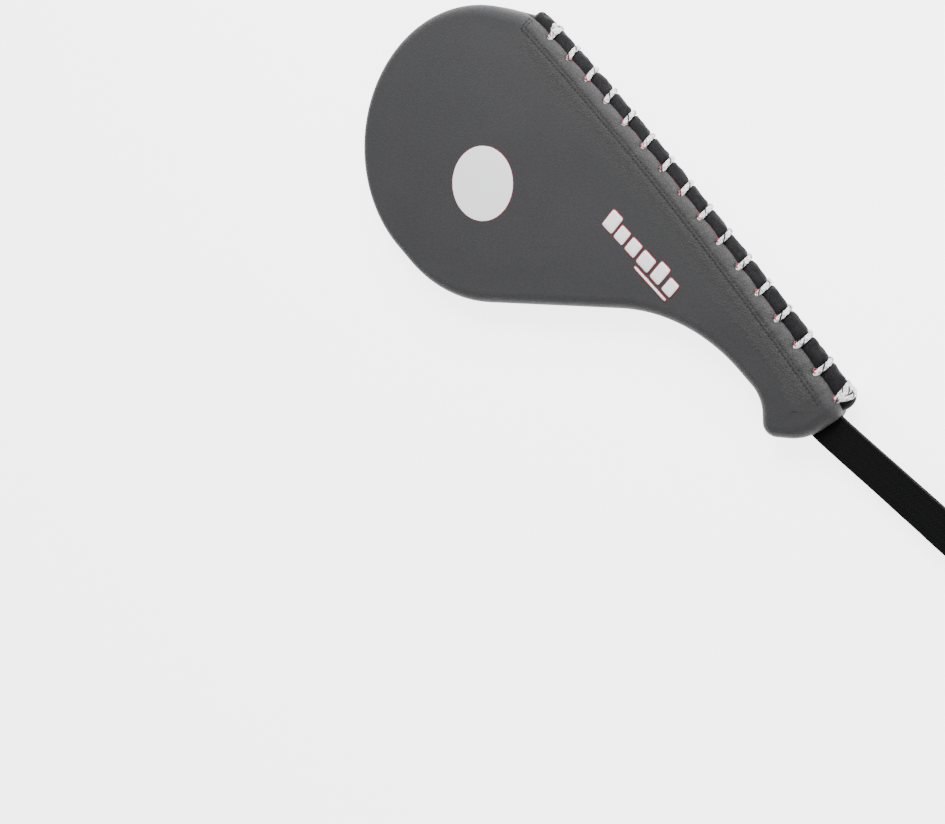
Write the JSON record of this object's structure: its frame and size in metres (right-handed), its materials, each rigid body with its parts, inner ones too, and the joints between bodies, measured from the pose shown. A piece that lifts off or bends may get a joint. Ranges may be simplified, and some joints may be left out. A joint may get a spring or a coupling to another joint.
{
  "type": "kick paddle",
  "caption": "Flat padded teardrop striking target with a moulded grip, laced closed along one side, and a webbing wrist loop.",
  "frame": {"origin": "on the resting plane, under the centre of the round head", "axes": "+X from the head towards the handle end and its loop, +Y towards the laced side, +Z out of the front striking face"},
  "size_m": [0.5644, 0.1985, 0.028],
  "materials": {
    "grey_leather": "fine grained synthetic leather, satin",
    "tongue_leather": "black synthetic leather, satin",
    "foam": "closed-cell foam",
    "stiffener_board": "flat spring board",
    "webbing": "plain woven polyester webbing",
    "lace_braid": "white braid with black flecks",
    "white_film": "heat-transferred film",
    "red_facing": "dark red reinforcing tape",
    "rivet_steel": "satin"
  },
  "bodies": {
    "root": {"front_cover": "grey_leather", "back_cover": "grey_leather", "front_foam": "foam", "middle_foam": "foam", "back_foam": "foam", "handle_stiffener": "stiffener_board", "strap_tails": "webbing", "strap_rivets": "rivet_steel", "rivet_washers": "rivet_steel", "lace": "lace_braid", "lace_start_knot": "lace_braid", "lace_end_knot": "lace_braid", "front_target_spot": "white_film", "back_target_spot": "white_film", "front_print": "white_film", "lacing_tongue": "tongue_leather", "tongue_filler": "foam", "front_hem_facing": "red_facing", "back_hem_facing": "red_facing"},
    "strap": {"wrist_loop": "webbing"}
  },
  "joints": [
    {"name": "loop_fold", "type": "hinge", "parent": "root", "child": "strap", "pos_m": [0.3122, -0.0015, 0.014], "axis": [0.3584, 0.9336, 0], "range_deg": [-95, 88]}
  ]
}
